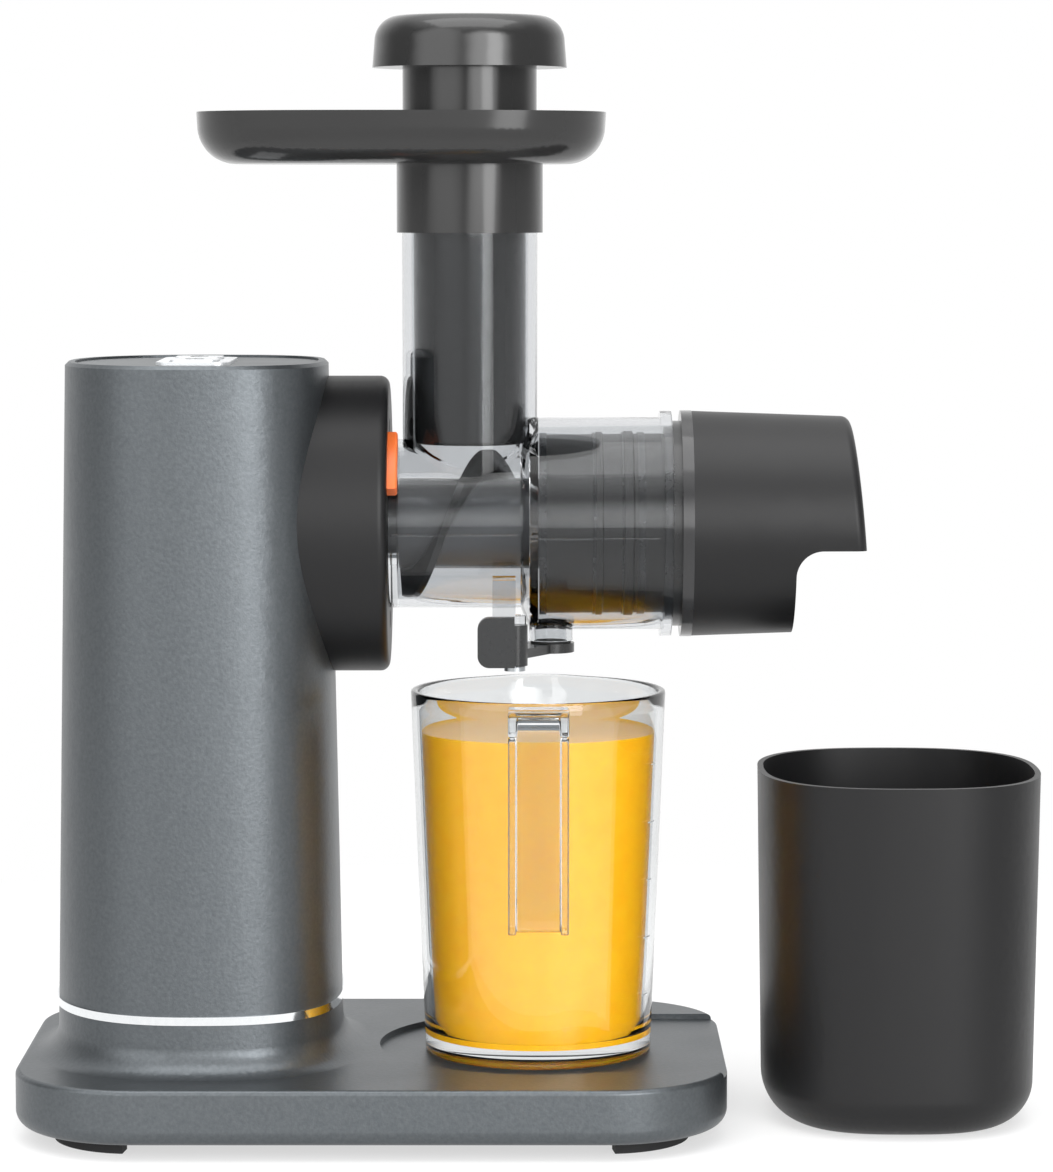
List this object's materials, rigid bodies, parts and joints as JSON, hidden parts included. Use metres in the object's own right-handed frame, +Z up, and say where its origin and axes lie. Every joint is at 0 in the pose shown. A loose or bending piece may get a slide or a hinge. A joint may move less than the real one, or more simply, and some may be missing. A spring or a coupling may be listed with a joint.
{
  "type": "cold press juicer",
  "caption": "Horizontal cold press juicer: motor tower on a plate, clear screw chamber with chute, tray and pusher, jug and pulp bin.",
  "frame": {"origin": "on the counter under the middle of the whole set, bin docked", "axes": "+Z up, +X towards the pulp bin, -Y towards the user"},
  "size_m": [0.35, 0.163, 0.3785],
  "materials": {
    "slate_metal": "satin textured",
    "chrome": "polished",
    "silver_panel": "brushed",
    "black_satin": "satin",
    "grey_gloss": "gloss",
    "clear_plastic": "clear",
    "smoke_plastic": "gloss",
    "orange_plastic": "gloss",
    "black_rubber": "matt",
    "steel": "bright",
    "motor_steel": "plated",
    "gear_nylon": "matt",
    "gear_housing": "die cast",
    "bronze": "sintered",
    "copper": "turned",
    "magnet": "sintered",
    "board": "matt",
    "component": "matt"
  },
  "bodies": {
    "root": {"base_shell": "slate_metal", "base_cover": "black_satin", "foot_front_left": "black_rubber", "foot_front_right": "black_rubber", "foot_rear_left": "black_rubber", "foot_rear_right": "black_rubber", "base_screws": "steel", "tower_shell": "slate_metal", "chrome_band": "chrome", "tower_lid": "slate_metal", "control_panel": "silver_panel", "control_board": "board", "tact_switches": "component", "power_board": "board", "board_components": "component", "cable_gland": "black_rubber", "gearbox_housing": "gear_housing", "gearbox_cover": "gear_housing", "first_gear_pin": "steel", "second_gear_pin": "steel", "rear_shaft_bush": "bronze", "front_shaft_bush": "bronze", "motor_can": "motor_steel", "motor_end_bell": "gear_housing", "front_motor_bearing": "bronze", "rear_motor_bearing": "bronze", "motor_magnets": "magnet", "adapter_collar": "black_satin", "adapter_screws": "steel", "shaft_seal": "black_rubber", "interlock_switch": "component"},
    "auger_drive": {"auger": "smoke_plastic", "drive_shaft": "steel", "output_gear": "motor_steel"},
    "second_gear_unit": {"second_gear": "motor_steel"},
    "first_gear_unit": {"first_gear": "gear_nylon"},
    "motor_rotor": {"motor_pinion": "motor_steel", "motor_shaft": "steel", "rotor_core": "motor_steel", "commutator": "copper"},
    "chamber": {"juicing_chamber": "clear_plastic", "filter_neck_ring": "smoke_plastic", "juice_filter": "smoke_plastic", "auger_tip_bush": "bronze", "lever_screw": "steel"},
    "cap": {"end_cap": "black_satin", "lock_ring": "clear_plastic"},
    "drip_stop": {"drip_lever": "smoke_plastic", "drip_seal": "black_rubber"},
    "tray": {"feed_tray": "grey_gloss"},
    "pusher": {"pusher_stem": "grey_gloss", "pusher_cap": "grey_gloss"},
    "release": {"release_button": "orange_plastic"},
    "start": {"start_button": "grey_gloss"},
    "reverse": {"reverse_button": "grey_gloss"},
    "juice_jug": {"jug": "clear_plastic"},
    "bin": {"pulp_bin": "black_satin"}
  },
  "joints": [
    {"name": "auger_spin", "type": "hinge", "parent": "root", "child": "auger_drive", "pos_m": [-0.052, 0, 0.2052], "axis": [1, 0, 0], "continuous": true},
    {"name": "second_gear_spin", "type": "hinge", "parent": "root", "child": "second_gear_unit", "pos_m": [-0.092, 0, 0.16145], "axis": [1, 0, 0], "continuous": true},
    {"name": "first_gear_spin", "type": "hinge", "parent": "root", "child": "first_gear_unit", "pos_m": [-0.092, 0, 0.12995], "axis": [1, 0, 0], "continuous": true},
    {"name": "motor_spin", "type": "hinge", "parent": "root", "child": "motor_rotor", "pos_m": [-0.092, 0, 0.10545], "axis": [1, 0, 0], "continuous": true},
    {"name": "chamber_twist", "type": "hinge", "parent": "root", "child": "chamber", "pos_m": [-0.049, 0, 0.2052], "axis": [1, 0, 0], "range_deg": [0, 30]},
    {"name": "end_cap_twist", "type": "hinge", "parent": "chamber", "child": "cap", "pos_m": [0.053, 0, 0.2052], "axis": [1, 0, 0], "range_deg": [0, 40]},
    {"name": "drip_lever_swing", "type": "hinge", "parent": "chamber", "child": "drip_stop", "pos_m": [-0.006, -0.027, 0.166], "axis": [0, 0, 1], "range_deg": [0, 70]},
    {"name": "tray_lift", "type": "slide", "parent": "chamber", "child": "tray", "axis": [0, 0, 1], "range_m": [0, 0.02]},
    {"name": "pusher_lift", "type": "slide", "parent": "tray", "child": "pusher", "axis": [0, 0, 1], "range_m": [0, 0.12]},
    {"name": "release_press", "type": "slide", "parent": "root", "child": "release", "axis": [-1, 0, 0], "range_m": [0, 0.0025], "stiffness_N_per_m": 800},
    {"name": "start_press", "type": "slide", "parent": "root", "child": "start", "axis": [0, 0, -1], "range_m": [0, 0.0012], "stiffness_N_per_m": 1000},
    {"name": "reverse_press", "type": "slide", "parent": "root", "child": "reverse", "axis": [0, 0, -1], "range_m": [0, 0.0012], "stiffness_N_per_m": 1000},
    {"name": "jug_out", "type": "slide", "parent": "root", "child": "juice_jug", "axis": [0, -0.9945, 0.1045], "range_m": [0, 0.16]},
    {"name": "bin_out", "type": "slide", "parent": "root", "child": "bin", "axis": [1, 0, 0], "range_m": [0, 0.1]}
  ],
  "couplings": [
    {"joint": "second_gear_spin", "follows": "auger_spin", "ratio": -4},
    {"joint": "first_gear_spin", "follows": "auger_spin", "ratio": 16},
    {"joint": "motor_spin", "follows": "auger_spin", "ratio": -64}
  ]
}
